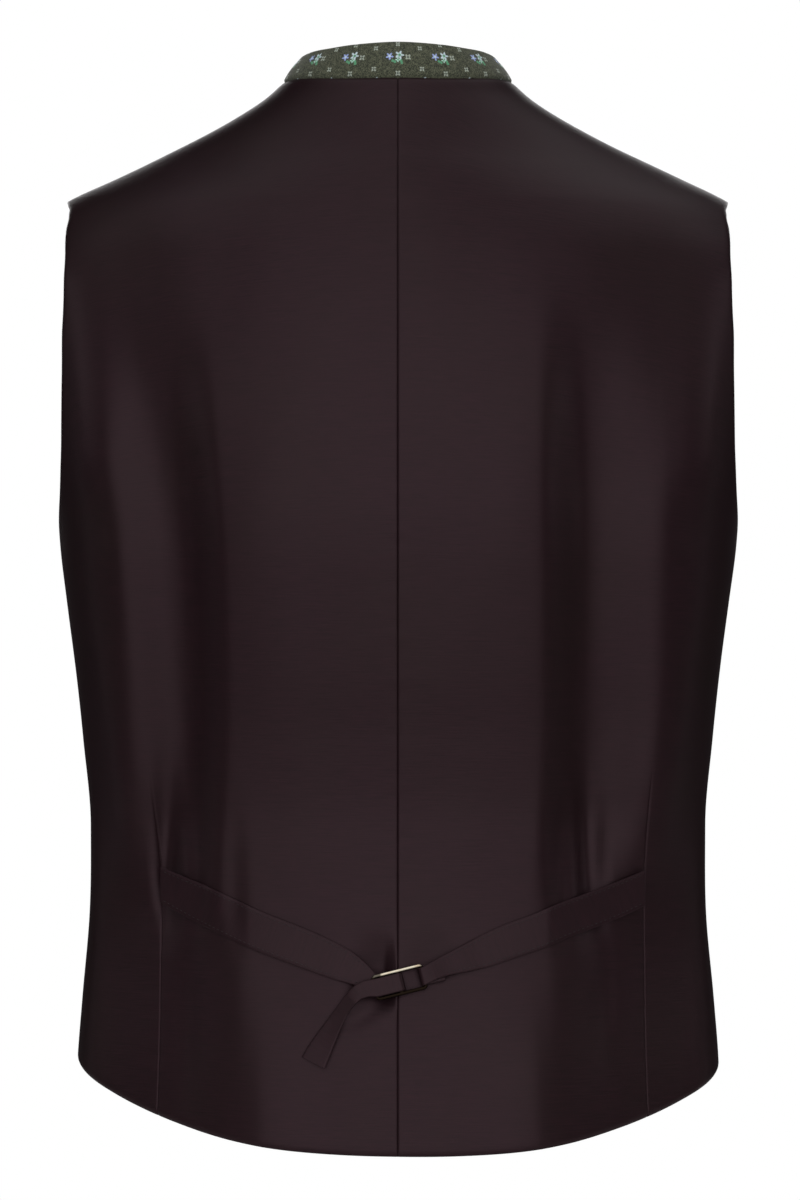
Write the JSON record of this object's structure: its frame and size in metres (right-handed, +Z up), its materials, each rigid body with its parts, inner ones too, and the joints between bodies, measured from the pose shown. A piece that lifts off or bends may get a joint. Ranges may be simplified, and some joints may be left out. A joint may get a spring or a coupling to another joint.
{
  "type": "trachten vest",
  "caption": "Sleeveless buttoned waistcoat with patterned fronts, a low stand collar and a plain satin back drawn in by a belt and slide buckle, held as worn.",
  "frame": {"origin": "midway between the two points where the shoulder seams meet the collar, where the wearer's neck and shoulders hold it up", "axes": "+Z up along the wearer's back, -Y towards the fronts and their buttons, +X to the wearer's left"},
  "size_m": [0.3914, 0.2546, 0.6255],
  "materials": {
    "satin": "dark brown satin with a fine slub",
    "jacquard": "olive green jacquard with small flower sprigs",
    "buckle_metal": "bright nickel plate",
    "button_metal": "old silver, domed and plain"
  },
  "bodies": {
    "root": {"back_left": "satin", "back_right": "satin", "front_left": "jacquard", "front_right": "jacquard", "collar": "jacquard", "belt_left": "satin", "belt_right": "satin", "buckle": "buckle_metal", "button_1": "button_metal", "button_2": "button_metal", "button_3": "button_metal", "button_4": "button_metal", "button_5": "button_metal", "button_6": "button_metal", "button_7": "button_metal"}
  },
  "joints": []
}
